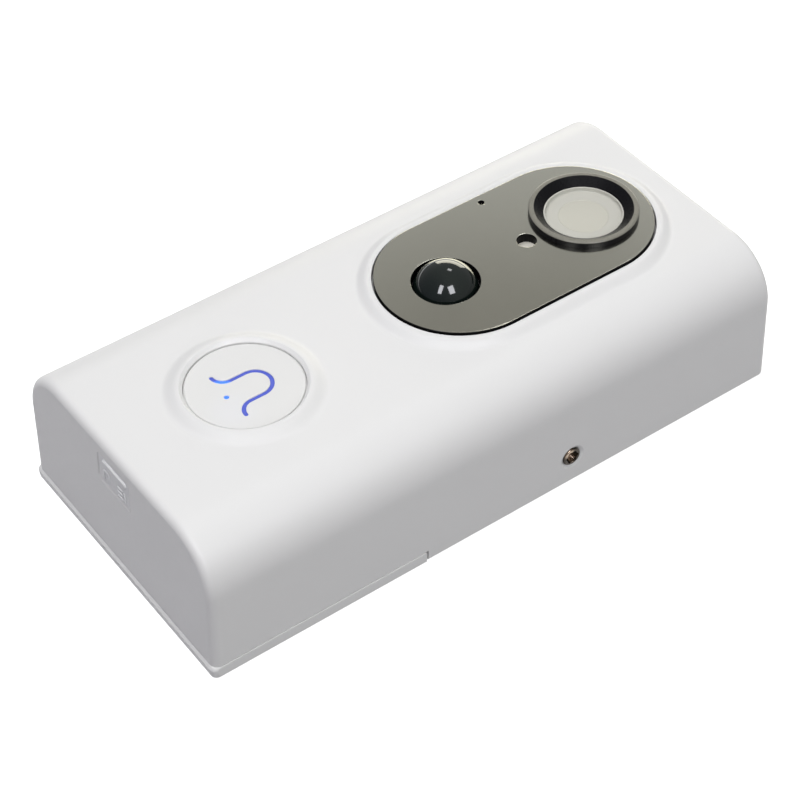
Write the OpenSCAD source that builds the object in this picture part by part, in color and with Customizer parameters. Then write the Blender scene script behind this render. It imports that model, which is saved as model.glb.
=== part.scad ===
// Battery video doorbell, lying on its back.
// +Z points out of the front face, +X towards the camera end (up when it hangs
// on a wall) and -Y towards the side with the security screw.
// The origin is the centre of the back face. Units are millimetres.

/* [Body] */
// Length of the front cover between its end walls, at the front face
body_len = 138; // [136:1:142]
// Width of the front cover
body_w = 67.4; // [67:0.2:70]
// Depth from the back plane to the flat front face
body_h = 32.8; // [32.8:0.2:34]
// How far each end wall leans out between the front face and the back
end_draft = 1.2; // [0.8:0.1:1.6]
// Radius along the two long front edges
side_fillet = 12; // [10:0.5:12]
// Radius around both end faces
end_fillet = 1.8; // [1:0.1:2.4]
// Thickness of the cover's side walls
wall = 2.2; // [2:0.1:2.4]

/* [Call button] */
// Centre of the button along the body
button_x = -38.6; // [-40:0.2:-37]
// Radius of the button cap
button_r = 11.9; // [11:0.1:12]
// How far the cap travels when it is pressed
button_travel = 0.6; // [0.3:0.1:0.6]

/* [Front panel] */
// Centre of the panel along the body
panel_x = 27.9; // [27:0.1:28.5]
// Half the length of the panel's straight sides
panel_straight = 14.4; // [14:0.1:15]
// Radius of the panel's round ends
panel_r = 17.6; // [17:0.05:18]
// Centre of the camera along the body
lens_x = 45.9; // [45:0.1:46]
// Outer radius of the ring around the camera window
lens_ring_r = 11.6; // [11.4:0.1:12]
// Centre of the motion sensor along the body
pir_x = 10; // [9.5:0.1:10.5]
// Radius of the motion sensor's dome
pir_r = 6.95; // [6:0.05:7]

/* [Back] */
// How far the battery door reaches along the body's sides
door_len = 50.2; // [48:0.2:52]
// How far the door's rim stands proud of the cover
door_proud = 0.25; // [0.1:0.05:0.3]
// Distance between the two wall screw holes of the bracket
bracket_holes = 32; // [28:1:32]

/* [Hidden] */
$fn = 64;

eps = 0.05;                              // overlap that fuses touching shapes
slip = 0.15;                             // gap between pieces that slide or drop in
cover_x = door_proud / 2;                // centres the whole outline on the origin
half_w = body_w / 2;
half_len = body_len / 2;

// Front cover levels
top_wall = 2.4;
cavity_top = body_h - top_wall;
ledge_z = 19.4;                          // step that presses on the gasket
ledge_w = 1.7;
door_z = 2.7;                            // height of the door's rim
door_front_x = -70.2 + door_len;         // end of the door's wide part
notch_x = door_front_x + 0.6;            // where the cover reaches the back again
boss_x = 61;
boss_y = 26;
boss_r = 3;
boss_z = 6.7;

// Front panel levels
rim_h = 1.4;                             // raised rims above the front face
rim_w = 0.8;
panel_gap = 0.35;
pocket_z = body_h - 0.6;                 // floor of the panel's pocket
tape_t = 0.25;
panel_z0 = pocket_z + tape_t;
panel_z1 = body_h + 1.8;
ring_z1 = panel_z1 + 1.45;
ring_lip_z = panel_z1 + 0.05;             // foot of the cone inside the ring
window_r = 9.9;
film_r = 8.4;
film_z1 = ring_lip_z - 1.05;            // floor of the milky cover
film_t = 0.35;
window_t = 0.8;
pir_z = panel_z1 + 3.9 - pir_r;          // centre of the dome's sphere
sensor_x = 30.8;
sensor_r = 2.1;
mic_y = 15.4;
mic_hole_r = 0.7;

// Button levels
button_z1 = body_h + 0.65;
button_bore_r = button_r + 0.25;
button_flange_r = 13.2;
switch_z = 27;                           // floor of the bore that the plunger moves in
plunger_z = switch_z + 0.2 + button_travel;
board_z = 24.6;                          // underside of the button board
board_t = 1.2;

// Rear housing and battery bay
rear_x = 66;
rear_y = 31.35;
rear_wall = 1.75;
rear_top = 18.2;
seal_w = 1.1;
floor_lo = 2.9;                          // floor above the door
floor_t = 1.6;
bay_x0 = -63.2;
bay_x1 = 9.4;
bay_y = 19.6;
bay_top = 22;
bay_wall = 1.6;
deck_z = bay_top + bay_wall;
tongue_y = 22;
tongue_x = 11;
rail = 1;

// Bracket
bracket_x0 = 13;
bracket_x1 = 57.2;
bracket_y = 28.8;
bracket_t = 2.3;
bracket_mid = (bracket_x0 + bracket_x1) / 2;
recess_gap = 0.3;
recess_z = 2.5;
wall_hole_r = 2.25;
screw_x = 16.9;
screw_z = 6.9;
screw_r = 1.5;
hook_x = 50;
hook_y = 16;
hook_half = 3.6;

// Charging port
port_y = -1.3;
port_z = 26.85;
reset_y = 4.6;
flap_y = 5.6;
flap_z0 = 22.3;
flap_z1 = 29;
flap_x = -69.15;
flap_t = 1.7;
flap_hinge_r = 0.35;                     // round lower edge, on which the flap turns

// Cells and boards
cell_r = 9.2;
cell_len = 65;
cell_y = 9.7;
cell_z = 12.2;
cell_x0 = -56.4;
main_z = 14;
main_t = 1.6;
main_x0 = 12.4;
main_x1 = 57.6;
main_y = 25.5;
post_x = [16, 55.4];                      // screw posts under the main board
post_y = 22;
camera_z = 21;
camera_half = 13;
speaker_x = 38;
speaker_z = 10.5;

// ---------- shared shapes ----------

// Half outline of the body's cross-section, drawn in Y and Z
function arc(cy, cz, r, a0, a1, n) =
    [for (i = [0:n]) let (a = a0 + (a1 - a0) * i / n) [cy + r * cos(a), cz + r * sin(a)]];

function section(hw, top, r, bottom) =
    concat([[-hw, bottom], [hw, bottom]],
           arc(hw - r, top - r, r, 0, 90, 10),
           arc(r - hw, top - r, r, 90, 180, 10));

// Thin slice of the body at one end, leaning with the end wall
module end_slice(side, depth, hw, top, r, bottom) {
    lean = side * end_draft / body_h;
    place = side * (half_len + end_draft - depth);
    multmatrix([[1, 0, -lean, place], [0, 1, 0, 0], [0, 0, 1, 0]])
        rotate([90, 0, 90])
            linear_extrude(0.02, center = true) polygon(section(hw, top, r, bottom));
}

// The body's outer form, with round edges around its end faces
module body_form() {
    steps = 4;
    translate([cover_x, 0, 0]) hull()
        for (side = [-1, 1], i = [0:steps])
            let (a = 90 * i / steps, inset = end_fillet * (1 - sin(a)))
                end_slice(side, end_fillet * (1 - cos(a)), half_w - inset,
                          body_h - inset, side_fillet - inset, 0);
}

// The same form moved inwards, open at the back, for hollowing the cover
module body_hollow(side_in, top_in) {
    translate([cover_x, 0, 0]) hull()
        for (side = [-1, 1])
            end_slice(side, side_in, half_w - side_in, body_h - top_in,
                      side_fillet - side_in, -1);
}

module box(x0, x1, y0, y1, z0, z1) {
    translate([x0, y0, z0]) cube([x1 - x0, y1 - y0, z1 - z0]);
}

module pillar(x, y, r, z0, z1) {
    translate([x, y, z0]) cylinder(r = r, h = z1 - z0);
}

// Prism with two round ends, along X
module stadium(r, straight, z0, z1) {
    for (side = [-1, 1]) pillar(side * straight, 0, r, z0, z1);
    box(-straight, straight, -r, r, z0, z1);
}

// Stadium that narrows towards its top
module stadium_ramp(r0, r1, straight, z0, z1) {
    for (side = [-1, 1])
        translate([side * straight, 0, z0]) cylinder(r1 = r0, r2 = r1, h = z1 - z0);
    translate([-straight, 0, 0]) rotate([90, 0, 90]) linear_extrude(2 * straight)
        polygon([[-r0, z0], [r0, z0], [r1, z1], [-r1, z1]]);
}

module ring(r_out, r_in, h) {
    difference() {
        cylinder(r = r_out, h = h);
        translate([0, 0, -1]) cylinder(r = r_in, h = h + 2);
    }
}

// Plate with round corners, centred on the origin
module round_plate(lx, ly, t, r) {
    translate([-lx / 2 + r, -ly / 2, 0]) cube([lx - 2 * r, ly, t]);
    translate([-lx / 2, -ly / 2 + r, 0]) cube([lx, ly - 2 * r, t]);
    for (sx = [-1, 1], sy = [-1, 1]) pillar(sx * (lx / 2 - r), sy * (ly / 2 - r), r, 0, t);
}

// Round wire wound into a coil that may taper
module coil_spring(r0, r1, height, turns, wire) {
    sides = 6;
    steps = turns * 14;
    points = [for (i = [0:steps], k = [0:sides - 1])
        let (a = 360 * turns * i / steps, b = -360 * k / sides,
             r = r0 + (r1 - r0) * i / steps + wire * cos(b),
             z = wire + (height - 2 * wire) * i / steps + wire * sin(b))
        [r * cos(a), r * sin(a), z]];
    walls = [for (i = [0:steps - 1], k = [0:sides - 1])
        let (n = (k + 1) % sides)
        [i * sides + k, i * sides + n, (i + 1) * sides + n, (i + 1) * sides + k]];
    start = [for (k = [sides - 1:-1:0]) k];
    end = [for (k = [0:sides - 1]) steps * sides + k];
    polyhedron(points, concat([start, end], walls));
}

// ---------- casing ----------

module speaker_slots(y0, y1) {
    for (i = [-3:3])
        translate([speaker_x + 2.4 * i, y0, speaker_z - 3])
            rotate([-90, 0, 0]) {
                translate([-0.5, -6, 0]) cube([1, 6, y1 - y0]);
                cylinder(r = 0.5, h = y1 - y0);
                translate([0, -6, 0]) cylinder(r = 0.5, h = y1 - y0);
            }
}

module front_cover() {
    ramp_r = half_w - side_fillet;       // the ramps end where the long fillets start
    pocket_r = panel_r + panel_gap;
    color("whitesmoke") difference() {
        union() {
            difference() {
                body_form();
                intersection() {
                    body_hollow(wall, top_wall);
                    box(-90, 90, -50, 50, -2, ledge_z);
                }
                body_hollow(wall + ledge_w, top_wall);
            }
            translate([panel_x, 0, 0])
                stadium_ramp(ramp_r, pocket_r + rim_w, panel_straight, body_h - eps, body_h + rim_h);
            translate([button_x, 0, body_h - eps])
                cylinder(r1 = button_bore_r + 4, r2 = button_bore_r + rim_w, h = rim_h + eps);
            for (sx = [-1, 1], sy = [-1, 1])
                pillar(sx * boss_x, sy * boss_y, boss_r, boss_z, cavity_top - 4);
            for (sx = [-1, 1], sy = [-1, 1])
                pillar(lens_x + sx * 10.8, sy * 10.8, 2, camera_z + board_t, cavity_top + eps);
        }
        // pocket and openings under the front panel
        translate([panel_x, 0, 0]) stadium(pocket_r, panel_straight, pocket_z, body_h + 5);
        pillar(lens_x, 0, 11.1, cavity_top - 1, body_h);
        pillar(pir_x, 0, 7.6, cavity_top - 1, body_h);
        pillar(sensor_x, 0, sensor_r + 0.3, cavity_top - 1, body_h);
        pillar(sensor_x, mic_y, 1, cavity_top - 1, body_h);
        // call button
        pillar(button_x, 0, button_bore_r, cavity_top - 1, body_h + 5);
        // the battery door closes this stretch of the rim
        box(-90, notch_x, -50, 50, -1, door_z + slip);
        // charging port: pocket for the flap, port hole and reset hole
        box(-80, flap_x + flap_t + 0.1, -flap_y - slip, flap_y + slip, flap_z0 - 0.1, flap_z1 + 0.4);
        box(-80, -60, port_y - 4.2, port_y + 4.2, port_z - 1.65, port_z + 1.65);
        translate([-80, reset_y, port_z]) rotate([0, 90, 0]) cylinder(r = 0.9, h = 20);
        // security screw
        translate([screw_x, -half_w - 1, screw_z]) rotate([-90, 0, 0]) {
            cylinder(r = 1.65, h = 5);
            cylinder(r = 2.25, h = 2.7);
            translate([0, 0, 1 - eps]) cylinder(r1 = 2.9, r2 = 2.25, h = 0.65);
        }
        speaker_slots(half_w - 4, half_w + 1);
        // pilot holes
        for (sx = [-1, 1], sy = [-1, 1]) pillar(sx * boss_x, sy * boss_y, screw_r, boss_z - 1, 17);
        for (sx = [-1, 1], sy = [-1, 1])
            pillar(lens_x + sx * 10.8, sy * 10.8, 1, camera_z, camera_z + 6);
    }
}

module screw_pads(z0, grow) {
    for (sx = [-1, 1], sy = [-1, 1])
        pillar(sx * boss_x, sy * boss_y, 3.3 + grow, z0, boss_z - 0.1);
}

module rear_housing() {
    floor_hi = floor_lo + floor_t;
    color("gainsboro") difference() {
        union() {
            // side and end walls
            difference() {
                box(-rear_x, rear_x, -rear_y, rear_y, floor_lo, rear_top);
                box(-rear_x + rear_wall, rear_x - rear_wall,
                    -rear_y + rear_wall, rear_y - rear_wall, floor_hi, rear_top + 1);
            }
            box(notch_x + 0.3, rear_x + 1.7, -rear_y, rear_y, 0, floor_lo);
            box(notch_x + 0.3, rear_x, -rear_y, rear_y, floor_lo - eps, floor_hi);
            screw_pads(floor_lo, 0);
            // battery bay
            box(bay_x0 - bay_wall, bay_x1 + bay_wall, -bay_y - bay_wall, bay_y + bay_wall,
                floor_lo, deck_z);
            // pocket around the bracket's tab
            box(screw_x - 6, screw_x + 6, -rear_y, -bracket_y + 4.4, floor_lo, screw_z + 5.8);
            // posts for the boards
            for (x = post_x, sy = [-1, 1])
                pillar(x, sy * post_y, 2.2, floor_lo, main_z);
            for (x = [-9, 9]) pillar(button_x + x, 0, 1.5, deck_z - eps, board_z);
            for (x = [-62, -55], sy = [-1, 1]) pillar(x, sy * 6, 1.2, deck_z - eps, deck_z + 0.8);
            for (sy = [-1, 1]) pillar(3.5, sy * 6.5, 1.2, deck_z - eps, deck_z + 0.6);
        }
        // battery bay, open to the back
        box(bay_x0, bay_x1, -bay_y, bay_y, -1, bay_top);
        // guide for the door's tongue
        box(-30, tongue_x + 0.3, -tongue_y - slip, tongue_y + slip, -1, 2.1);
        box(-30, tongue_x + 0.3, -tongue_y - rail - 0.2, tongue_y + rail + 0.2, 0.8, 2.1);
        // recess for the bracket, its tab and its hooks
        box(bracket_x0 - recess_gap, bracket_x1 + recess_gap, -bracket_y - recess_gap,
            bracket_y + recess_gap, -1, recess_z);
        box(screw_x - 4.3, screw_x + 4.3, -bracket_y - recess_gap, -bracket_y + 2.8,
            -1, screw_z + 4.4);
        for (sy = [-1, 1]) box(hook_x - 5.5, hook_x + 2.6, sy * hook_y - 4.5, sy * hook_y + 4.5, -1, 6);
        // screws through the pads
        for (sx = [-1, 1], sy = [-1, 1]) {
            pillar(sx * boss_x, sy * boss_y, 1.7, -1, boss_z + 1);
            pillar(sx * boss_x, sy * boss_y, 2.9, -1, 4.9);
        }
        for (x = post_x, sy = [-1, 1]) pillar(x, sy * post_y, 1, main_z - 6, main_z + 1);
        translate([screw_x, -rear_y - 1, screw_z]) rotate([-90, 0, 0]) cylinder(r = 1.8, h = 4);
        // window for the speaker
        box(speaker_x - 10.5, speaker_x + 10.5, rear_y - 3, rear_y + 1, speaker_z - 6, speaker_z + 6);
    }
}

module housing_gasket() {
    color("dimgray") difference() {
        box(-rear_x, rear_x, -rear_y, rear_y, rear_top, ledge_z - eps);
        box(-rear_x + seal_w, rear_x - seal_w, -rear_y + seal_w, rear_y - seal_w, rear_top - 1, ledge_z + 1);
    }
}

// Pan-head screw standing on its head, with a cross recess
module pan_screw(head_r, head_h, shank_r, shank_len) {
    difference() {
        union() {
            cylinder(r = head_r, h = head_h);
            cylinder(r = shank_r, h = head_h + shank_len);
        }
        for (a = [0, 90])
            rotate([0, 0, a]) translate([-head_r * 0.55, -0.25, -1]) cube([head_r * 1.1, 0.5, 1.8]);
    }
}

module housing_screws() {
    color("silver") for (sx = [-1, 1], sy = [-1, 1])
        translate([sx * boss_x, sy * boss_y, 3]) pan_screw(2.7, 1.85, screw_r, 9.5);
}

module battery_door() {
    rim = 2;
    x0 = -body_len / 2 - end_draft - cover_x;
    y = half_w + door_proud;
    color("white") difference() {
        union() {
            // wide part with its rim; the rim's upper edge is chamfered
            linear_extrude(door_z - 0.35)
                polygon([[x0 + 1, -y], [door_front_x, -y], [door_front_x, y], [x0 + 1, y],
                         [x0, y - 1], [x0, 1 - y]]);
            translate([0, 0, door_z - 0.35 - eps]) linear_extrude(0.35 + eps)
                polygon([[x0 + 1.2, -y + 0.3], [door_front_x, -y + 0.3], [door_front_x, y - 0.3],
                         [x0 + 1.2, y - 0.3], [x0 + 0.3, y - 1.2], [x0 + 0.3, 1.2 - y]]);
            // tongue with rails, which slides under the housing
            box(door_front_x - eps, tongue_x, -tongue_y, tongue_y, 0, 2);
            box(door_front_x - eps, tongue_x, -tongue_y - rail, tongue_y + rail, 0.95, 1.95);
        }
        box(x0 + rim, door_front_x - rim, -y + rim, y - rim, 2, door_z + 1);
        box(door_front_x - rim - eps, door_front_x + 1, -tongue_y - rail - 0.3, tongue_y + rail + 0.3,
            2, door_z + 1);
        // finger grip and label recess on the outside
        for (i = [0:4]) box(-62 + 2.2 * i, -61 + 2.2 * i, -12, 12, -1, 0.5);
        box(-46, -8, -15, 15, -1, 0.25);
    }
}

module door_label() {
    color("white") translate([-27, 0, 0.07]) round_plate(37.4, 29.4, 0.16, 1);
}

module wall_bracket() {
    color("lightgray") difference() {
        union() {
            translate([bracket_mid, 0, 0])
                round_plate(bracket_x1 - bracket_x0, 2 * bracket_y, bracket_t, 3);
            box(screw_x - 4, screw_x + 4, -bracket_y, -bracket_y + 2.5, 0, screw_z);
            translate([screw_x, -bracket_y, screw_z]) rotate([-90, 0, 0]) cylinder(r = 4, h = 2.5);
            for (sy = [-1, 1]) {
                box(hook_x, hook_x + 2.5, sy * hook_y - hook_half, sy * hook_y + hook_half, bracket_t - eps, 5.6);
                box(hook_x, hook_x + 5, sy * hook_y - hook_half, sy * hook_y + hook_half, 4.6, 5.8);
            }
        }
        for (side = [-1, 1])
            translate([bracket_mid + side * bracket_holes / 2, 0, 0]) {
                pillar(0, 0, wall_hole_r, -1, bracket_t + 1);
                translate([0, 0, 1.3]) cylinder(r1 = wall_hole_r, r2 = wall_hole_r + 1.9, h = 1.1);
            }
        translate([screw_x, -bracket_y - 1, screw_z]) rotate([-90, 0, 0]) cylinder(r = screw_r, h = 5);
        // opening that lightens the plate
        translate([bracket_mid, 0, -1]) stadium(6, 4, 0, 5);
    }
}

module security_screw() {
    color("tan") translate([screw_x, -half_w + 0.2, screw_z]) rotate([-90, 0, 0]) difference() {
        union() {
            cylinder(r = 2.1, h = 1.45);
            cylinder(r = screw_r, h = 7.45);
        }
        // six-lobe recess
        translate([0, 0, -1]) cylinder(r = 0.95, h = 1.9);
        for (a = [0:60:300]) rotate([0, 0, a]) translate([1, 0, -1]) cylinder(r = 0.38, h = 1.9);
    }
}

// ---------- front panel and camera ----------

module front_panel() {
    color("darkgray") difference() {
        translate([panel_x, 0, 0]) stadium(panel_r, panel_straight, panel_z0, panel_z1);
        pillar(lens_x, 0, 11, panel_z0 - 1, panel_z1 + 1);
        pillar(pir_x, 0, 7.15, panel_z0 - 1, panel_z1 + 1);
        pillar(sensor_x, 0, sensor_r, panel_z0 - 1, panel_z1 + 1);
        pillar(sensor_x, mic_y, mic_hole_r, panel_z0 - 1, panel_z1 + 1);
    }
}

module panel_tape() {
    color("black") difference() {
        translate([panel_x, 0, 0])
            stadium(panel_r - 0.1, panel_straight, pocket_z, panel_z0);
        pillar(lens_x, 0, 11.3, pocket_z - 1, panel_z1);
        pillar(pir_x, 0, 7.8, pocket_z - 1, panel_z1);
        pillar(sensor_x, 0, 2.6, pocket_z - 1, panel_z1);
        pillar(sensor_x, mic_y, 1.1, pocket_z - 1, panel_z1);
    }
}

module lens_ring() {
    color("black") translate([lens_x, 0, 0]) rotate_extrude($fn = 96)
        polygon([[10, 30.6], [10.9, 30.6], [10.9, panel_z1], [lens_ring_r, panel_z1],
                 [lens_ring_r, ring_z1 - 0.35], [lens_ring_r - 0.35, ring_z1],
                 [lens_ring_r - 1.15, ring_z1], [film_r + 0.1, ring_lip_z],
                 [film_r + 0.1, film_z1 - film_t], [10, film_z1 - film_t]]);
}

module lens_window() {
    top = film_z1 - film_t - 0.03;
    color("lightblue", 0.6) pillar(lens_x, 0, window_r, top - window_t, top);
}

module lens_film() {
    color("beige") difference() {
        pillar(lens_x, 0, film_r, film_z1 - film_t, ring_lip_z - 0.05);
        pillar(lens_x, 0, film_r - film_t, film_z1, ring_lip_z);
    }
}

module ir_board() {
    color("darkgreen") translate([lens_x, 0, 30]) ring(9.7, 5.4, 1);
}

module ir_leds() {
    color("purple") translate([lens_x, 0, 31]) for (a = [30:60:330])
        rotate([0, 0, a]) translate([7.4, 0, 0]) {
            cylinder(r = 1.3, h = 0.6);
            translate([0, 0, 0.5]) cylinder(r = 1.1, h = 0.8);
        }
}

module lens_barrel() {
    color("black") translate([lens_x, 0, 24.7]) difference() {
        cylinder(r = 5, h = 7.6);
        translate([0, 0, 6.9]) cylinder(r1 = 3.4, r2 = 4.4, h = 1);
        translate([0, 0, -1]) cylinder(r = 3, h = 3);
    }
}

module lens_holder() {
    color("dimgray") difference() {
        box(lens_x - 7.5, lens_x + 7.5, -7.5, 7.5, camera_z + board_t, 28);
        box(lens_x - 5.5, lens_x + 5.5, -5.5, 5.5, camera_z, 24.6);
        pillar(lens_x, 0, 5, 24, 29);
    }
}

module image_sensor() {
    color("slategray") box(lens_x - 4, lens_x + 4, -4, 4, camera_z + board_t, camera_z + 2);
}

module camera_pcb() {
    color("darkgreen") difference() {
        translate([lens_x, 0, camera_z]) round_plate(2 * camera_half, 2 * camera_half, board_t, 2);
        for (sx = [-1, 1], sy = [-1, 1]) pillar(lens_x + sx * 10.8, sy * 10.8, 1.1, camera_z - 1, 25);
    }
}

module camera_flex() {
    r = (camera_z - main_z - main_t) / 2;
    color("darkorange") translate([55.6, 5, main_z + main_t + r]) rotate([90, 0, 0])
        linear_extrude(10) intersection() {
            difference() {
                circle(r = r);
                circle(r = r - 0.25);
            }
            translate([0, -r]) square([r, 2 * r]);
        }
}

// ---------- sensors ----------

module pir_lens() {
    skin = 0.8;
    color("black") translate([pir_x, 0, 0]) difference() {
        union() {
            intersection() {
                translate([0, 0, pir_z]) sphere(r = pir_r);
                box(-10, 10, -10, 10, pir_z, pir_z + 10);
            }
            pillar(0, 0, pir_r, 29, pir_z);
            pillar(0, 0, 8.4, 29, 30.3);
        }
        translate([0, 0, pir_z]) sphere(r = pir_r - skin);
        pillar(0, 0, pir_r - skin, 28, pir_z);
    }
}

module pir_sensor() {
    color("silver") difference() {
        union() {
            pillar(pir_x, 0, 4.6, deck_z + 1.8, 26);
            pillar(pir_x, 0, 4.1, deck_z + 1.8, 29.2);
        }
        box(pir_x - 2, pir_x + 2, -1.5, 1.5, 28.9, 30);
    }
}

module pir_pcb() {
    color("darkgreen") box(pir_x - 9, pir_x + 9, -9, 9, deck_z + 0.6, deck_z + 1.8);
}

module light_pipe() {
    color("ivory") {
        pillar(sensor_x, 0, sensor_r + 0.15, cavity_top + 0.6, panel_z0);
        pillar(sensor_x, 0, 1.2, main_z + main_t + 1.1, cavity_top + 0.7);
    }
}

module light_sensor() {
    color("black") box(sensor_x - 1, sensor_x + 1, -1, 1, main_z + main_t, main_z + main_t + 0.9);
}

module mic_boot() {
    color("black") translate([sensor_x, mic_y, 0]) difference() {
        pillar(0, 0, 3.2, 26.4, cavity_top - 0.1);
        pillar(0, 0, 2.35, 25, 29.4);
        pillar(0, 0, 0.8, 25, 32);
    }
}

module microphone() {
    color("silver") difference() {
        pillar(sensor_x, mic_y, 2.3, 26.6, 29.3);
        pillar(sensor_x, mic_y, 0.6, 28.9, 30);
    }
}

// ---------- call button ----------

// Stroke along a circle, kept only in one quadrant
module quarter_stroke(r, w, sx, sy) {
    intersection() {
        difference() {
            circle(r = r + w / 2);
            circle(r = r - w / 2);
        }
        translate([sx > 0 ? 0 : -2 * r, sy > 0 ? 0 : -2 * r]) square(2 * r);
    }
}

// Plain bell outline with a clapper dot, crown towards +X
module bell_outline(w) {
    crown = 3.5;
    crown_x = 2;
    flare = 2.9;
    side_x = -1.15;
    for (s = [-1, 1]) {
        translate([crown_x, 0]) quarter_stroke(crown, w, 1, s);
        translate([side_x - eps, s * crown - w / 2]) square([crown_x - side_x + 2 * eps, w]);
        translate([side_x, s * (crown + flare)]) quarter_stroke(flare, w, -1, -s);
        translate([side_x - flare, s * (crown + flare)]) circle(r = w / 2);
    }
    translate([side_x - flare - 0.4, 0]) circle(r = w / 2 + 0.1);
}

module button_cap() {
    color("white") translate([button_x, 0, 0]) difference() {
        rotate_extrude($fn = 96)
            polygon([[0, 29.75], [2.2, 29.75], [2.2, 31.5], [10.7, 31.5], [10.7, 28.9],
                     [button_flange_r, 28.9], [button_flange_r, 30.1], [button_r, 30.1],
                     [button_r, button_z1 - 0.25], [button_r - 0.25, button_z1], [0, button_z1]]);
        translate([0, 0, button_z1 - 0.9]) linear_extrude(2) bell_outline(0.9);
    }
}

module bell_symbol() {
    color("dodgerblue") translate([button_x, 0, button_z1 - 0.85])
        linear_extrude(0.45) bell_outline(0.8);
}

module button_spring() {
    color("silver") translate([button_x, 0, board_z + board_t + 0.02]) coil_spring(5.4, 5.4, 5.5, 5, 0.3);
}

module button_plunger() {
    color("black") pillar(button_x, 0, 1.7, plunger_z, 29.7);
}

module button_switch() {
    color("silver") difference() {
        box(button_x - 3, button_x + 3, -3, 3, board_z + board_t, 28.9);
        pillar(button_x, 0, 1.76, switch_z, 30);
    }
}

module button_leds() {
    color("lightyellow") translate([button_x, 0, board_z + board_t]) for (a = [45:90:315])
        rotate([0, 0, a]) translate([8, 0, 0]) {
            translate([-1.6, -1.4, 0]) cube([3.2, 2.8, 0.6]);
            cylinder(r = 1.1, h = 0.8);
        }
}

module button_pcb() {
    color("darkgreen") pillar(button_x, 0, 12.4, board_z, board_z + board_t);
}

// Flat cable that lies on the battery bay and drops to the main board
module flat_cable(x0, y, w) {
    t = 0.2;
    z = deck_z + t;
    low = main_z + main_t;
    translate([0, y + w / 2, 0]) rotate([90, 0, 0]) linear_extrude(w)
        polygon([[x0, z], [11, z], [11, low + 0.3], [16, low + 0.3], [16, low + 0.3 + t],
                 [11 + t, low + 0.3 + t], [11 + t, z + t], [x0, z + t]]);
}

module button_flex() { color("darkorange") flat_cable(button_x + 4, 14, 6); }

// ---------- charging port ----------

module usb_cover() {
    x1 = flap_x + flap_t;
    color("white") difference() {
        union() {
            difference() {
                union() {
                    box(flap_x + flap_hinge_r, x1, -flap_y, flap_y, flap_z0, flap_z1);
                    box(flap_x, x1, -flap_y, flap_y, flap_z0 + flap_hinge_r, flap_z1);
                    translate([flap_x + flap_hinge_r, -flap_y, flap_z0 + flap_hinge_r])
                        rotate([-90, 0, 0]) cylinder(r = flap_hinge_r, h = 2 * flap_y);
                }
                // one corner is cut off
                translate([flap_x - 1, flap_y, flap_z0]) rotate([45, 0, 0]) cube([5, 2, 2]);
            }
            box(x1 - eps, x1 + 0.55, port_y - 3.6, port_y + 3.6, port_z - 1.2, port_z + 1.2);
            // grip bar on the outside
            translate([flap_x, 0, flap_z1 - 1.5]) rotate([90, 0, 0])
                translate([0, 0, -3.4]) cylinder(r = 0.35, h = 6.8);
        }
        // sunk frame line that follows the edge
        for (s = [-1, 1]) box(flap_x - 1, flap_x + 0.2, s * (flap_y - 0.8) - 0.12, s * (flap_y - 0.8) + 0.12,
                              flap_z0 + 1.6, flap_z1 - 0.6);
    }
}

module usb_port() {
    x0 = -66.2;
    color("silver") difference() {
        box(x0, x0 + 5.8, port_y - 3.75, port_y + 3.75, port_z - 1.35, port_z + 1.35);
        difference() {
            box(x0 - 1, x0 + 5, port_y - 3.4, port_y + 3.4, port_z - 1, port_z + 1);
            box(x0 + 0.8, x0 + 6, port_y - 2.4, port_y + 2.4, port_z - 0.3, port_z + 0.3);
        }
    }
}

module usb_pcb() {
    color("darkgreen") box(-64, -52, -8, 8, deck_z + 0.8, port_z - 1.35);
}

module usb_flex() { color("darkorange") flat_cable(-56, -14, 6); }

module reset_plunger() {
    color("black") translate([-65.4, reset_y, port_z]) rotate([0, 90, 0]) cylinder(r = 0.7, h = 3);
}

module reset_switch() {
    color("silver") difference() {
        box(-63.6, -60, reset_y - 1.6, reset_y + 1.6, port_z - 1.35, port_z + 1.5);
        translate([-64, reset_y, port_z]) rotate([0, 90, 0]) cylinder(r = 0.76, h = 2.2);
    }
}

// ---------- power ----------

module battery_cell(tint) {
    color(tint) translate([cell_x0, 0, cell_z]) rotate([0, 90, 0]) {
        cylinder(r = cell_r, h = cell_len - 1.5);
        cylinder(r = 3.2, h = cell_len);
    }
}

module battery_left() { translate([0, cell_y, 0]) battery_cell("mediumseagreen"); }

module battery_right() { translate([0, -cell_y, 0]) battery_cell("mediumseagreen"); }

module battery_springs() {
    color("silver") for (s = [-1, 1])
        translate([bay_x0 + 0.52, s * cell_y, cell_z]) rotate([0, 90, 0]) coil_spring(5.5, 2.6, 6.1, 4, 0.4);
}

module battery_contacts() {
    color("gold") for (s = [-1, 1]) {
        box(bay_x0, bay_x0 + 0.5, s * cell_y - 6, s * cell_y + 6, cell_z - 6, cell_z + 6);
        box(bay_x1 - 0.5, bay_x1, s * cell_y - 6, s * cell_y + 6, cell_z - 6, cell_z + 6);
    }
}

module battery_wires() {
    r = 0.6;
    color("red") for (s = [-1, 1]) translate([bay_x1 + bay_wall, s * cell_y, 0]) {
        translate([0, 0, 19]) rotate([0, 90, 0]) cylinder(r = r, h = 3.2);
        translate([3.2, 0, 19]) sphere(r = r);
        pillar(3.2, 0, r, main_z + main_t, 19);
    }
}

// ---------- main board ----------

module main_pcb() {
    color("darkgreen") difference() {
        box(main_x0, main_x1, -main_y, main_y, main_z, main_z + main_t);
        for (x = post_x, sy = [-1, 1]) pillar(x, sy * post_y, 1.1, main_z - 1, 17);
    }
}

module soc_shield() {
    color("silver") difference() {
        translate([40, -9, main_z + main_t]) round_plate(17, 15, 2.2, 1);
        box(32.5, 47.5, -15.5, -2.5, main_z, main_z + main_t + 1.8);
    }
}

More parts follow.
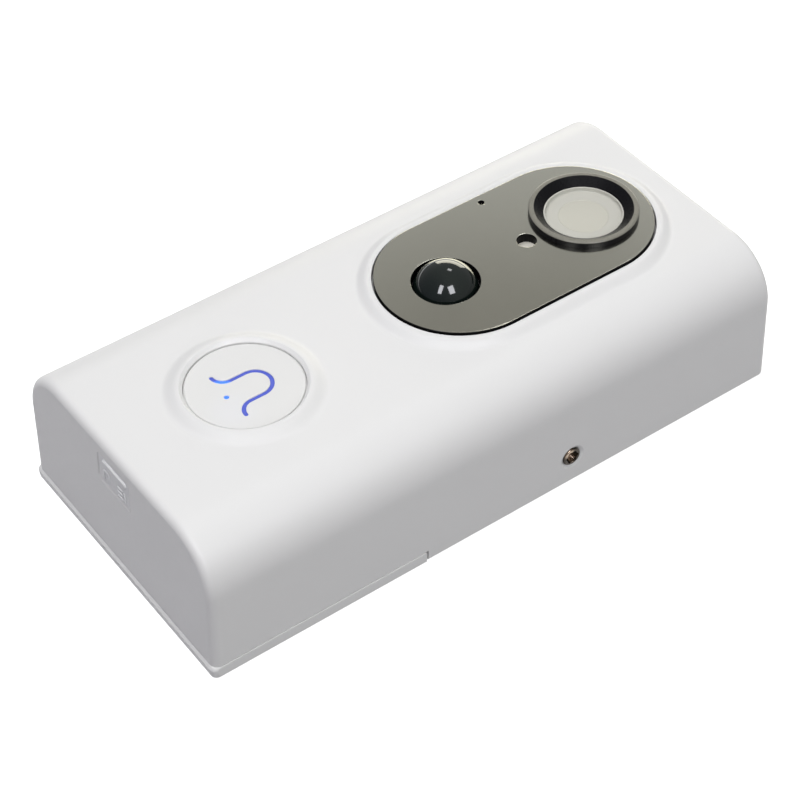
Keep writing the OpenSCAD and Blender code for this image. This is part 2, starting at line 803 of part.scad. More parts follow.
module wifi_module() {
    color("slategray") {
        box(20, 38, 8, 21, main_z + main_t, main_z + main_t + 0.8);
        box(23, 37.4, 8.6, 20.4, main_z + main_t, main_z + main_t + 2.4);
    }
}

module pcb_components() {
    z = main_z + main_t;
    color("dimgray") {
        box(45, 49, 12, 16, z, z + 2);
        box(45, 49, 18, 22, z, z + 2);
        pillar(22, -18, 3.15, z, z + 4.5);
        pillar(30, -18.5, 2.5, z, z + 4);
        for (i = [0:2]) box(22 + 3 * i, 23.6 + 3 * i, -10, -9.2, z, z + 0.8);
    }
}

module antenna() {
    color("goldenrod") box(64.2, 64.5, -12, 12, 20.5, 27.5);
}

module small_screw() { pan_screw(1.9, 1.2, 1, 4.5); }

module pcb_screws() {
    color("silver") {
        for (sx = [-1, 1], sy = [-1, 1])
            translate([lens_x + sx * 10.8, sy * 10.8, camera_z - 1.2]) small_screw();
        for (x = post_x, sy = [-1, 1])
            translate([x, sy * post_y, main_z + main_t + 1.2]) mirror([0, 0, 1]) small_screw();
    }
}

// ---------- speaker ----------

module speaker() {
    color("black") difference() {
        box(speaker_x - 10, speaker_x + 10, 26.4, 30, speaker_z - 5.5, speaker_z + 5.5);
        translate([speaker_x, 29.4, speaker_z]) rotate([-90, 0, 0]) stadium(4, 4.5, 0, 1);
    }
}

module speaker_gasket() {
    color("dimgray") difference() {
        box(speaker_x - 10, speaker_x + 10, 30, 31.4, speaker_z - 5.5, speaker_z + 5.5);
        box(speaker_x - 8.8, speaker_x + 8.8, 29, 32, speaker_z - 4.3, speaker_z + 4.3);
    }
}

front_cover();
rear_housing();
housing_gasket();
housing_screws();
battery_door();
door_label();
wall_bracket();
security_screw();
front_panel();
panel_tape();
lens_ring();
lens_window();
lens_film();
ir_board();
ir_leds();
lens_barrel();
lens_holder();
image_sensor();
camera_pcb();
camera_flex();
pir_lens();
pir_sensor();
pir_pcb();
light_pipe();
light_sensor();
mic_boot();
microphone();
button_cap();
bell_symbol();
button_spring();
button_plunger();
button_switch();
button_leds();
button_pcb();
button_flex();
usb_cover();
usb_port();
usb_pcb();
usb_flex();
reset_plunger();
reset_switch();
battery_left();
battery_right();
battery_springs();
battery_contacts();
battery_wires();
main_pcb();
soc_shield();
wifi_module();
pcb_components();
antenna();
pcb_screws();
speaker();
speaker_gasket();
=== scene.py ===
"""Looks of the battery video doorbell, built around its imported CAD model.

Shapes are written in millimetres in the frame of the model and scaled once, when a piece is made.
"""

import math

import bmesh
import bpy
from mathutils import Matrix, Vector


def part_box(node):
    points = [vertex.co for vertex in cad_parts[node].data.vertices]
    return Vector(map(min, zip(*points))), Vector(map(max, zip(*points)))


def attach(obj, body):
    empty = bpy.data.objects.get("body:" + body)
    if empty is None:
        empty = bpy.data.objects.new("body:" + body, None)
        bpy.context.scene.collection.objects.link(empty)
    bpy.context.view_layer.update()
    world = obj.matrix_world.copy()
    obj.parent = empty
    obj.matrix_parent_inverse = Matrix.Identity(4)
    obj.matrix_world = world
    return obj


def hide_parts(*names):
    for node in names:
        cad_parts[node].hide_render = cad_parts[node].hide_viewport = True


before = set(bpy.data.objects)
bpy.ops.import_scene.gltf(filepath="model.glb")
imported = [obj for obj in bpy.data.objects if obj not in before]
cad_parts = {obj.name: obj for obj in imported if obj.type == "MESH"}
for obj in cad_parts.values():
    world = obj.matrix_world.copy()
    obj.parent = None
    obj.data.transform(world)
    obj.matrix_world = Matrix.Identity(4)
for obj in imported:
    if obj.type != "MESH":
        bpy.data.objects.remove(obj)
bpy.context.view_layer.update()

MM = 0.001
CIRCLE_STEPS = 96


def box_mm(node):
    """Lowest and highest corner of a CAD node, in millimetres."""
    low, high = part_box(node)
    return low / MM, high / MM


# ---------- sizes, worked out from the frame ----------

cover_low, cover_high = box_mm("front_cover")
panel_low, panel_high = box_mm("front_panel")
ring_low, ring_high = box_mm("lens_ring")
film_low, film_high = box_mm("lens_film")
dome_low, dome_high = box_mm("pir_lens")
cap_low, cap_high = box_mm("button_cap")
door_low, door_high = box_mm("battery_door")
flap_low, flap_high = box_mm("usb_cover")
port_low, port_high = box_mm("usb_port")
reset_low, reset_high = box_mm("reset_plunger")
screw_low, screw_high = box_mm("security_screw")
speaker_low, speaker_high = box_mm("speaker")
pipe_low, pipe_high = box_mm("light_pipe")
mic_low, mic_high = box_mm("microphone")

RIM_RISE = 1.4
RIM_WIDTH = 0.8
half_w = cover_high.y
body_h = cover_high.z - RIM_RISE
cover_x = (cover_low.x + cover_high.x) / 2
END_DRAFT = 1.2
END_ROUND = 1.8
SIDE_ROUND = 12
WALL = 2.2
TOP_WALL = 2.4
SEAM = 0.08
LEDGE_Z = 19.4
LEDGE_WIDTH = 1.7
back_half_len = (cover_high.x - cover_low.x) / 2

panel_x = (panel_low.x + panel_high.x) / 2
panel_r = panel_high.y
panel_straight = (panel_high.x - panel_low.x) / 2 - panel_r
pocket_r = panel_r + 0.35
pocket_z = body_h - 0.6
lens_x = (ring_low.x + ring_high.x) / 2
ring_r = ring_high.y
pir_x = (dome_low.x + dome_high.x) / 2
PIR_R = 6.95
pir_z = dome_high.z - PIR_R
sensor_x = (pipe_low.x + pipe_high.x) / 2
SENSOR_R = 2.1
MIC_R = 0.7
mic_y = (mic_low.y + mic_high.y) / 2
film_floor = film_high.z - 1
LENS_HOLE_R = 11
PIR_HOLE_R = 7.15
openings = [(lens_x, 0, LENS_HOLE_R), (pir_x, 0, PIR_HOLE_R)]
openings += [(sensor_x, 0, SENSOR_R), (sensor_x, mic_y, MIC_R)]

button_x = (cap_low.x + cap_high.x) / 2
button_r = cap_high.y - 1.3
BUTTON_RIM = 0.8
BUTTON_RAMP = 4.3
BUTTON_FUNNEL = 0.65
bore_r = button_r + 0.25
cap_top = cap_high.z
BELL_DOT_X = -4.45
BELL_SHIFT = (-0.2, -0.65)

door_z = door_high.z
DOOR_LEN = 50.225
door_front = door_low.x + DOOR_LEN
notch_x = door_front + 0.6
TONGUE_Y = 22
RAIL = 1

flap_y = (flap_high.y - flap_low.y) / 2
port_y = (port_low.y + port_high.y) / 2
port_z = (port_low.z + port_high.z) / 2
reset_y = (reset_low.y + reset_high.y) / 2
screw_x = (screw_low.x + screw_high.x) / 2
screw_z = (screw_low.z + screw_high.z) / 2
speaker_x = (speaker_low.x + speaker_high.x) / 2
speaker_z = (speaker_low.z + speaker_high.z) / 2


# ---------- lines and outlines ----------


def rounded(points, steps=4, closed=False):
    """A line with round corners. Each point is (u, v) or (u, v, radius)."""
    line = []
    count = len(points)
    for i, point in enumerate(points):
        corner = Vector(point[:2])
        radius = point[2] if len(point) > 2 else 0
        if not radius or (not closed and i in (0, count - 1)):
            line.append(corner)
            continue
        before = (Vector(points[i - 1][:2]) - corner).normalized()
        after = (Vector(points[(i + 1) % count][:2]) - corner).normalized()
        half = before.angle(after) / 2
        centre = corner + (before + after).normalized() * radius / math.sin(half)
        start = corner + before * radius / math.tan(half) - centre
        end = corner + after * radius / math.tan(half) - centre
        for k in range(steps + 1):
            line.append(centre + start.slerp(end, k / steps).normalized() * radius)
    return line


def circle(x, y, r, z, steps=CIRCLE_STEPS):
    turns = [2 * math.pi * k / steps for k in range(steps)]
    return [(x + r * math.cos(a), y + r * math.sin(a), z) for a in turns]


def stadium(x, half, r, z, steps=48):
    """Closed loop of two half circles, half apart from x on both sides."""
    loop = []
    for side in (1, -1):
        for k in range(steps + 1):
            a = math.pi * (k / steps - 0.5 * side)
            loop.append((x + side * half + r * math.cos(a), r * math.sin(a), z))
    return loop


def flat(loop):
    """The points of a loop in its own plane."""
    return [Vector(p[:2]) for p in loop]


def box_outline(u, v, half_u, half_v, radius=0, steps=5):
    """A rectangle around (u, v), anticlockwise, with round corners."""
    signs = ((-1, -1), (1, -1), (1, 1), (-1, 1))
    return rounded([(u + a * half_u, v + b * half_v, radius) for a, b in signs], steps, closed=True)


# ---------- mesh building ----------


def add_loop(bm, points):
    return [bm.verts.new(p) for p in points]


def join_loops(bm, a, b):
    """A closed strip between two loops. A loop of one vertex is a pole."""
    count = max(len(a), len(b))
    for i in range(count):
        j = (i + 1) % count
        if len(b) == 1:
            bm.faces.new((a[i], a[j], b[0]))
        elif len(a) == 1:
            bm.faces.new((a[0], b[j], b[i]))
        else:
            bm.faces.new((a[i], a[j], b[j], b[i]))


def skin(bm, rings, closed=False):
    """Strips between loops of points. Gives back the first and last loop of vertices."""
    loops = [add_loop(bm, ring) for ring in rings]
    for a, b in zip(loops, loops[1:]):
        join_loops(bm, a, b)
    if closed:
        join_loops(bm, loops[-1], loops[0])
    return loops[0], loops[-1]


def fill(bm, outer, *holes):
    """Flat faces inside the outer loop and outside the holes."""
    if not holes:
        bm.faces.new(outer)
        return
    edges = []
    for loop in (outer, *holes):
        for a, b in zip(loop, loop[1:] + loop[:1]):
            edges.append(bm.edges.get((a, b)) or bm.edges.new((a, b)))
    bmesh.ops.triangle_fill(bm, use_beauty=True, edges=edges)


def solid(bm):
    """An object from a mesh, still in millimetres."""
    bmesh.ops.recalc_face_normals(bm, faces=bm.faces)
    mesh = bpy.data.meshes.new("shape")
    bm.to_mesh(mesh)
    bm.free()
    obj = bpy.data.objects.new("shape", mesh)
    bpy.context.scene.collection.objects.link(obj)
    return obj


def lathe(line, x=0, y=0, steps=CIRCLE_STEPS):
    """A line of (radius, z) turned around a vertical axis. One that starts off the axis is closed."""
    bm = bmesh.new()
    rings = [[(x, y, z)] if r < 1e-6 else circle(x, y, r, z, steps) for r, z in line]
    skin(bm, rings, closed=line[0][0] > 1e-6)
    return solid(bm)


def tower(rings):
    """A closed solid through a stack of loops."""
    bm = bmesh.new()
    first, last = skin(bm, rings)
    fill(bm, first)
    fill(bm, last)
    return solid(bm)


def tower_x(levels):
    """A closed solid through (x, outline) pairs, with the outlines in Y and Z."""
    return tower([[(x, p.x, p.y) for p in outline] for x, outline in levels])


def tower_z(levels):
    """A closed solid through (z, outline) pairs, with the outlines in X and Y."""
    return tower([[(p.x, p.y, z) for p in outline] for z, outline in levels])


def block(low, high):
    """A box between two corners."""
    (x0, y0, z0), (x1, y1, z1) = low, high
    base = [(x0, y0), (x1, y0), (x1, y1), (x0, y1)]
    return tower([[(x, y, z) for x, y in base] for z in (z0, z1)])


def grown(points, amount):
    """An outline in its own plane, moved outwards by an amount. It runs anticlockwise."""
    moved = []
    count = len(points)
    for i, point in enumerate(points):
        before = (point - points[i - 1]).normalized()
        after = (points[(i + 1) % count] - point).normalized()
        normal = Vector((before.y + after.y, -before.x - after.x)).normalized()
        moved.append(point + normal * amount / max(0.3, normal.dot(Vector((after.y, -after.x)))))
    return moved


def soft_plate(outline, z0, z1, edge, steps=4):
    """A plate with a rounded lower edge. The outline is a list of 2D points."""
    levels = []
    for k in range(steps + 1):
        a = math.pi / 2 * k / steps
        levels.append((z0 + edge * (1 - math.cos(a)), grown(outline, -edge * (1 - math.sin(a)))))
    return tower_z([*levels, (z1, outline)])


def combine(obj, others, operation):
    """Cuts the others out of obj, or adds them to it, and removes them."""
    for other in others:
        change = obj.modifiers.new("combine", "BOOLEAN")
        change.operation = operation
        change.solver = "EXACT"
        change.object = other
        view = bpy.context.evaluated_depsgraph_get()
        mesh = bpy.data.meshes.new_from_object(obj.evaluated_get(view))
        obj.modifiers.clear()
        obj.data = mesh
        bpy.data.objects.remove(other)


def finish_piece(obj, name, material, body, replaces, sharp=35):
    """Scales a piece to metres, smooths it, ties it to its body and hides the CAD nodes it replaces."""
    obj.name = name
    obj.data.name = name
    obj.data.transform(Matrix.Scale(MM, 4))
    obj.data.materials.clear()
    obj.data.materials.append(material)
    obj.data.polygons.foreach_set("material_index", [0] * len(obj.data.polygons))
    obj.data.polygons.foreach_set("use_smooth", [True] * len(obj.data.polygons))
    obj.data.set_sharp_from_angle(angle=math.radians(sharp))
    normals = obj.modifiers.new("normals", "WEIGHTED_NORMAL")
    normals.keep_sharp = True
    normals.weight = 50
    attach(obj, body)
    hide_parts(*replaces)
    return obj


# ---------- materials ----------


class Nodes:
    """Short forms for adding nodes to a tree. Colours in the maps are linear."""

    def __init__(self, tree):
        self.tree = tree

    def add(self, kind, **sockets):
        node = self.tree.nodes.new(kind)
        for name, value in sockets.items():
            self.put(node.inputs[name.replace("_", " ")], value)
        return node

    def put(self, socket, value):
        if isinstance(value, bpy.types.NodeSocket):
            self.tree.links.new(value, socket)
        else:
            socket.default_value = value

    def fade(self, value, low, high, to_low=0.0, to_high=1.0):
        """Maps a value from low..high to to_low..to_high, smoothly and clamped."""
        ends = {"From_Min": low, "From_Max": high, "To_Min": to_low, "To_Max": to_high}
        node = self.add("ShaderNodeMapRange", Value=value, **ends)
        node.interpolation_type = "SMOOTHSTEP"
        return node.outputs["Result"]

    def mix(self, factor, a, b, blend="MIX"):
        """Mixes two colours. Each is a tuple or another mix."""
        node = self.tree.nodes.new("ShaderNodeMix")
        node.data_type = "RGBA"
        node.blend_type = blend
        self.put(node.inputs[0], factor)
        self.put(node.inputs[6], (*a, 1) if isinstance(a, tuple) else a)
        self.put(node.inputs[7], (*b, 1) if isinstance(b, tuple) else b)
        return node.outputs[2]

    def operate(self, kind, operation, *values):
        """A math node of a kind. Its values go to its inputs in order."""
        node = self.tree.nodes.new(kind)
        node.operation = operation
        for socket, value in zip(node.inputs, values):
            self.put(socket, value)
        return node

    def math(self, operation, a, b=0.0):
        return self.operate("ShaderNodeMath", operation, a, b).outputs[0]


class Paint(Nodes):
    """One material's nodes, over its Principled shader."""

    def __init__(self, name):
        self.material = bpy.data.materials.new(name)
        self.material.use_nodes = True
        super().__init__(self.material.node_tree)
        self.shader = self.tree.nodes["Principled BSDF"]
        self.place = self.add("ShaderNodeTexCoord").outputs["Object"]

    def set(self, **sockets):
        for name, value in sockets.items():
            self.put(self.shader.inputs[name.replace("_", " ")], value)

    def noise(self, scale, detail=3, stretch=(1, 1, 1)):
        """Noise over the piece's own place, with its scale in features per metre."""
        spread = self.add("ShaderNodeMapping", Vector=self.place, Scale=stretch)
        node = self.add("ShaderNodeTexNoise", Scale=scale, Detail=detail, Vector=spread.outputs[0])
        return node.outputs["Fac"]

    def distance(self, point, flatten=(1, 1, 1)):
        """Distance in millimetres from a point in the frame. An axis with flatten 0 is left out."""
        kind = "ShaderNodeVectorMath"
        away = self.operate(kind, "SUBTRACT", self.place, [c * MM for c in point])
        kept = self.operate(kind, "MULTIPLY", away.outputs[0], [f / MM for f in flatten])
        return self.operate(kind, "LENGTH", kept.outputs[0]).outputs["Value"]

    def height(self):
        """Height in millimetres."""
        parts = self.add("ShaderNodeSeparateXYZ", Vector=self.place)
        return self.math("MULTIPLY", parts.outputs["Z"], 1 / MM)

    def bump(self, height, distance):
        """Bump from a height of 0 to 1 over a distance in millimetres."""
        node = self.add("ShaderNodeBump", Height=height, Strength=1, Distance=distance * MM)
        self.set(Normal=node.outputs[0])


def moulded(name, colour, roughness=0.42, grain=0.004, shift=0.03):
    """Moulded plastic: a fine grain, faint flow marks and small changes of gloss."""
    paint = Paint(name)
    flow = paint.noise(45, 2, (1, 0.4, 1))
    darker = tuple(c * (1 - shift) for c in colour)
    paint.set(Base_Color=paint.mix(flow, darker, colour))
    paint.set(Roughness=paint.fade(paint.noise(900), 0.3, 0.7, roughness - 0.04, roughness + 0.05))
    paint.bump(paint.noise(5200, 2), grain)
    return paint


def white_plastic():
    paint = moulded("white_abs", (0.76, 0.76, 0.755))
    paint.set(Specular_IOR_Level=0.3)
    return paint.material


def cap_plastic():
    """The button's white, with a faint blue glow where the light inside sits under the skin."""
    paint = moulded("white_button", (0.745, 0.745, 0.735))
    near = paint.distance((button_x - 5.5, -4.5, cap_top), (1, 1, 0))
    glow = paint.fade(near, 1, 7, 0.03, 0.0)
    paint.set(Emission_Color=(0.25, 0.38, 1, 1), Emission_Strength=glow)
    return paint.material


def rear_plastic():
    return moulded("light_grey_abs", (0.62, 0.62, 0.615), 0.5, 0.006).material


def bracket_plastic():
    return moulded("bracket_nylon", (0.5, 0.5, 0.495), 0.55, 0.01).material


def soft_white_rubber():
    return moulded("white_silicone", (0.78, 0.785, 0.79), 0.5, 0.006).material


def black_plastic():
    return moulded("black_abs", (0.012, 0.012, 0.013), 0.45, 0.006, 0.3).material


def black_rubber():
    return moulded("black_rubber", (0.02, 0.02, 0.021), 0.7, 0.012, 0.3).material


def panel_finish():
    """Smoky mirror panel with black sides; its colour grows lighter towards its far corner, a painted
    reflection.
    """
    paint = Paint("smoky_panel")
    # Painted reflection: a mask that grows with distance from a point off the panel's near corner.
    across = paint.distance((panel_x - 40, -60, panel_high.z), (1, 1, 0))
    shade = paint.fade(across, 45, 110)
    cloudy = paint.noise(70, 2)
    # Darker near tones and lighter far tones of the painted reflection, each with a random cloudy tone.
    near = paint.mix(cloudy, (0.43, 0.42, 0.357), (0.448, 0.438, 0.373))
    far = paint.mix(cloudy, (0.74, 0.738, 0.654), (0.76, 0.758, 0.672))
    top = paint.fade(paint.height(), panel_high.z - 0.03, panel_high.z - 0.008)
    paint.set(Base_Color=paint.mix(top, (0.006, 0.006, 0.006), paint.mix(shade, near, far)), Metallic=top)
    paint.set(Specular_IOR_Level=paint.fade(top, 0, 1, 0.1, 0.5))
    paint.set(Roughness=paint.fade(paint.noise(1200), 0.3, 0.7, 0.13, 0.16))
    paint.bump(paint.noise(2600, 2), 0.0004)
    return paint.material


def ring_finish():
    """Black moulding with a warm grey satin top face."""
    paint = Paint("satin_ring")
    height = paint.height()
    from_axis = paint.distance((lens_x, 0, 0), (1, 1, 0))
    top = paint.fade(height, ring_high.z - 0.4, ring_high.z - 0.12)
    outside = paint.fade(from_axis, ring_r - 1.25, ring_r - 1.05)
    # Mask of the top face: warm grey there, black elsewhere.
    grey_top = paint.math("MULTIPLY", top, outside)
    brushed = paint.noise(3800, 3, (1, 1, 0.1))
    grey = paint.mix(brushed, (0.19, 0.184, 0.155), (0.225, 0.218, 0.184))
    paint.set(Base_Color=paint.mix(grey_top, (0.006, 0.006, 0.007), grey))
    paint.set(Roughness=paint.fade(brushed, 0.3, 0.7, 0.26, 0.36))
    paint.set(Specular_IOR_Level=paint.fade(grey_top, 0, 1, 0.1, 0.35))
    paint.bump(brushed, 0.0015)
    return paint.material


def film_finish():
    """Milky plastic, a little warmer in the middle, with a faint line around its step."""
    paint = Paint("milky_film")
    from_axis = paint.distance((lens_x, 0, 0), (1, 1, 0))
    middle = paint.fade(from_axis, 5.3, 5.0)
    off_line = paint.math("ABSOLUTE", paint.math("SUBTRACT", from_axis, 5.25))
    line = paint.fade(off_line, 0.05, 0.3, 0.35, 0.0)
    cloudy = paint.noise(220, 3)
    border = paint.mix(cloudy, (0.52, 0.515, 0.465), (0.545, 0.54, 0.49))
    centre = paint.mix(cloudy, (0.53, 0.522, 0.455), (0.55, 0.542, 0.475))
    paint.set(Base_Color=paint.mix(line, paint.mix(middle, border, centre), (0.5, 0.49, 0.42)))
    paint.set(Roughness=paint.fade(cloudy, 0.3, 0.7, 0.36, 0.46), Specular_IOR_Level=0.3)
    return paint.material


def dome_finish():
    """Glossy near-black green dome."""
    paint = Paint("dark_dome")
    tint = paint.noise(160, 2)
    paint.set(Base_Color=paint.mix(tint, (0.004, 0.007, 0.006), (0.008, 0.013, 0.011)))
    paint.set(Roughness=paint.fade(paint.noise(700), 0.3, 0.7, 0.05, 0.1), IOR=1.52)
    paint.bump(paint.noise(900, 2), 0.0008)
    return paint.material


def bell_light():
    """Blue light guide, brightest beside the lamp under it."""
    paint = Paint("blue_light_guide")
    lamp = paint.distance((button_x - 4.4, 1.6, cap_top), (1, 1, 0))
    near = paint.fade(lamp, 2.4, 3.6, 1.0, 0.0)
    cloudy = paint.noise(900, 2)
    deep = paint.mix(cloudy, (0.05, 0.07, 0.36), (0.06, 0.09, 0.42))
    colour = paint.mix(near, deep, (0.02, 0.24, 1.0))
    paint.set(Base_Color=paint.mix(cloudy, (0.05, 0.07, 0.4), (0.07, 0.1, 0.46)))
    paint.set(Emission_Color=colour, Emission_Strength=paint.fade(near, 0, 1, 0.45, 0.9))
    paint.set(Roughness=paint.fade(cloudy, 0.3, 0.7, 0.35, 0.45))
    return paint.material


def pipe_finish():
    return moulded("cream_diffuser", (0.74, 0.71, 0.64), 0.35, 0.002).material


def metal(name, colour, roughness=0.3, grain=4200, depth=0.002):
    """Bare or plated metal with a fine drawn grain."""
    paint = Paint(name)
    drawn = paint.noise(grain, 3, (1, 1, 0.15))
    darker = tuple(c * 0.82 for c in colour)
    paint.set(Base_Color=paint.mix(drawn, darker, colour), Metallic=1.0)
    paint.set(Roughness=paint.fade(drawn, 0.3, 0.7, roughness - 0.06, roughness + 0.08))
    paint.bump(drawn, depth)
    return paint.material


def screw_finish():
    """Bronze screw coloured near black as a painted dark reflection, with a painted highlight on its upper
    rim and painted glints on its recess walls.
    """
    paint = Paint("bronze_screw")
    worn = paint.noise(2500, 3)
    # Painted highlight: bright bronze near a point above the head's middle, towards -X.
    upper = paint.distance((screw_x - 0.9, screw_low.y, screw_z + 1.5), (1, 0, 1))
    bright = paint.fade(upper, 0.5, 1.6, 1.0, 0.0)
    # Painted glints: lighter bronze on the recess walls near a point below the head's middle.
    wall = paint.distance((screw_x + 0.2, screw_low.y, screw_z - 0.7), (1, 0, 1))
    painted_glint = paint.fade(wall, 0.4, 1.0, 0.7, 0.0)
    # Painted dark reflection: the bronze is near black, with a random worn tone.
    dark = paint.mix(worn, (0.03, 0.026, 0.022), (0.055, 0.046, 0.038))
    inside = paint.mix(painted_glint, dark, (0.42, 0.33, 0.26))
    paint.set(Base_Color=paint.mix(bright, inside, (0.32, 0.25, 0.19)), Metallic=1.0)
    paint.set(Roughness=paint.fade(worn, 0.3, 0.7, 0.16, 0.26))
    paint.bump(worn, 0.002)
    return paint.material


def board_finish():
    """Green solder mask over copper tracks, with scattered pads."""
    paint = Paint("circuit_board")
    tracks = paint.add(
        "ShaderNodeTexBrick", Vector=paint.place, Scale=260, Mortar_Size=0.045, Brick_Width=0.9,
        Row_Height=0.32, Color1=(0.004, 0.045, 0.02, 1), Color2=(0.005, 0.055, 0.026, 1),
        Mortar=(0.012, 0.11, 0.05, 1)
    )
    tracks.offset = 0.5
    dots = paint.add("ShaderNodeTexVoronoi", Vector=paint.place, Scale=420, Randomness=0.4)
    pads = paint.fade(dots.outputs["Distance"], 0.1, 0.16, 1.0, 0.0)
    paint.set(Base_Color=paint.mix(pads, tracks.outputs["Color"], (0.45, 0.33, 0.12)))
    paint.set(Roughness=paint.fade(paint.noise(700), 0.3, 0.7, 0.26, 0.36))
    paint.bump(tracks.outputs["Fac"], 0.01)
    return paint.material


def flex_finish():
    """Amber film with straight copper lines."""
    paint = Paint("flat_cable")
    stripes = paint.add("ShaderNodeTexWave", Vector=paint.place, Scale=320)
    stripes.bands_direction = "Y"
    copper = paint.fade(stripes.outputs["Fac"], 0.4, 0.7)
    paint.set(Base_Color=paint.mix(copper, (0.42, 0.16, 0.02), (0.62, 0.27, 0.07)))
    paint.set(Roughness=paint.fade(paint.noise(600), 0.3, 0.7, 0.3, 0.4))
    return paint.material


def cell_finish():
    """Shrink film of a cell, with small wrinkles at its ends."""
    paint = Paint("cell_wrap")
    parts = paint.add("ShaderNodeSeparateXYZ", Vector=paint.place)
    along = paint.math("MULTIPLY", parts.outputs["X"], 1 / MM)
    cell_end = box_mm("battery_left")[1].x
    metal_end = paint.fade(along, cell_end - 1.7, cell_end - 1.4)
    cloudy = paint.noise(300, 3, (0.2, 1, 1))
    film = paint.mix(cloudy, (0.02, 0.2, 0.13), (0.03, 0.26, 0.17))
    paint.set(Base_Color=paint.mix(metal_end, film, (0.6, 0.59, 0.57)), Metallic=metal_end)
    paint.set(Roughness=paint.fade(cloudy, 0.3, 0.7, 0.25, 0.34))
    paint.bump(cloudy, 0.03)
    return paint.material


def label_paper():
    """Blank satin label with paper fibres."""
    paint = Paint("label_paper")
    fibres = paint.noise(1800, 4, (1, 0.3, 1))
    paint.set(Base_Color=paint.mix(fibres, (0.66, 0.66, 0.65), (0.74, 0.74, 0.73)))
    paint.set(Roughness=paint.fade(fibres, 0.3, 0.7, 0.5, 0.62))
    paint.bump(fibres, 0.008)
    return paint.material


def led_finish():
    """White package with a yellow phosphor dome."""
    paint = Paint("led_package")
    dome = paint.fade(paint.noise(500), 0.3, 0.7)
    paint.set(Base_Color=paint.mix(dome, (0.72, 0.62, 0.3), (0.8, 0.74, 0.48)))
    paint.set(Roughness=paint.fade(dome, 0, 1, 0.2, 0.32))
    return paint.material


def window_glass():
    """Clear cover glass with a faint coating."""
    paint = Paint("cover_glass")
    smear = paint.noise(90, 3)
    paint.set(Base_Color=paint.mix(smear, (0.9, 0.94, 0.95), (0.97, 0.98, 0.98)))
    paint.set(Transmission_Weight=0.95, IOR=1.5)
    paint.set(Roughness=paint.fade(smear, 0.3, 0.7, 0.02, 0.06))
    return paint.material


def chip_finish():
    return moulded("chip_epoxy", (0.018, 0.018, 0.02), 0.5, 0.01, 0.2).material


# ---------- front cover ----------


def end_x(z, inset=0.0):
    """Half length of the cover between its leaning end walls at a height."""
    return back_half_len - END_DRAFT * z / body_h - inset


def shell_loft(bm, width, top, side_round, end_round, inset, low_rows, end_steps, side_steps):
    """A long box with round edges, open at its bottom and at its flat top.

    low_rows are (height, inset) pairs from the bottom to where the round edges start.
    Gives back the corner loop of the flat top and the loop of the bottom rim.
    """
    slices = []
    for side in (-1, 1):
        order = range(end_steps + 1) if side < 0 else range(end_steps, -1, -1)
        for i in order:
            turn = math.pi / 2 * i / end_steps
            rows = []
            for z, extra in low_rows:
                bend = end_round - extra
                x = end_x(z, inset) - end_round + bend * math.cos(turn)
                rows.append((x, width - end_round + bend * math.sin(turn), z))
            r = side_round - end_round * (1 - math.sin(turn))
            for k in range(side_steps + 1):
                a = math.pi / 2 * k / side_steps
                z = top - side_round + r * math.sin(a)
                x = end_x(z, inset) - end_round * (1 - math.cos(turn))
                rows.append((x, width - side_round + r * math.cos(a), z))
            near = [(cover_x + side * x, -y, z) for x, y, z in rows]
            far = [(cover_x + side * x, y, z) for x, y, z in reversed(rows)]
            slices.append((add_loop(bm, near), add_loop(bm, far)))
    for (near_a, far_a), (near_b, far_b) in zip(slices, slices[1:]):
        for a, b in ((near_a, near_b), (far_a, far_b)):
            for i in range(len(a) - 1):
                bm.faces.new((a[i], b[i], b[i + 1], a[i + 1]))
    middle = end_steps
    for i, ((near_a, far_a), (near_b, far_b)) in enumerate(zip(slices, slices[1:])):
        if i != middle:
            bm.faces.new((near_a[-1], near_b[-1], far_b[0], far_a[0]))
    for near, far in (slices[0], slices[-1]):
        low = len(low_rows) - 1
        for i in range(low):
            bm.faces.new((near[i], near[i + 1], far[-2 - i], far[-1 - i]))
        bm.faces.new(near[low:] + far[: len(far) - low])
    (near_a, far_a), (near_b, far_b) = slices[middle : middle + 2]
    top_loop = [near_a[-1], near_b[-1], far_b[0], far_a[0]]
    rim = [near[0] for near, _ in slices] + [far[-1] for _, far in reversed(slices)]
    return top_loop, rim


def ramp_line(foot, crest, inner, bottom, funnel=0.0):
    """Radius and height of a raised rim: a soft rise, a crest and a wall down to the bottom.

    The wall's upper part can open like a funnel, by as much as it is deep.
    """
    crest_z = body_h + RIM_RISE
    steps = 16
    line = []
    for k in range(steps + 1):
        t = k / steps
        line.append((foot + (crest - foot) * t, body_h + RIM_RISE * (1 - math.cos(math.pi * t)) / 2))
    corners = [(crest, crest_z), (inner + funnel, crest_z, 0.15), (inner, bottom)]
    if funnel:
        corners.insert(2, (inner, crest_z - funnel, 0.1))
    return line + [tuple(p) for p in rounded(corners, 4)[1:]]


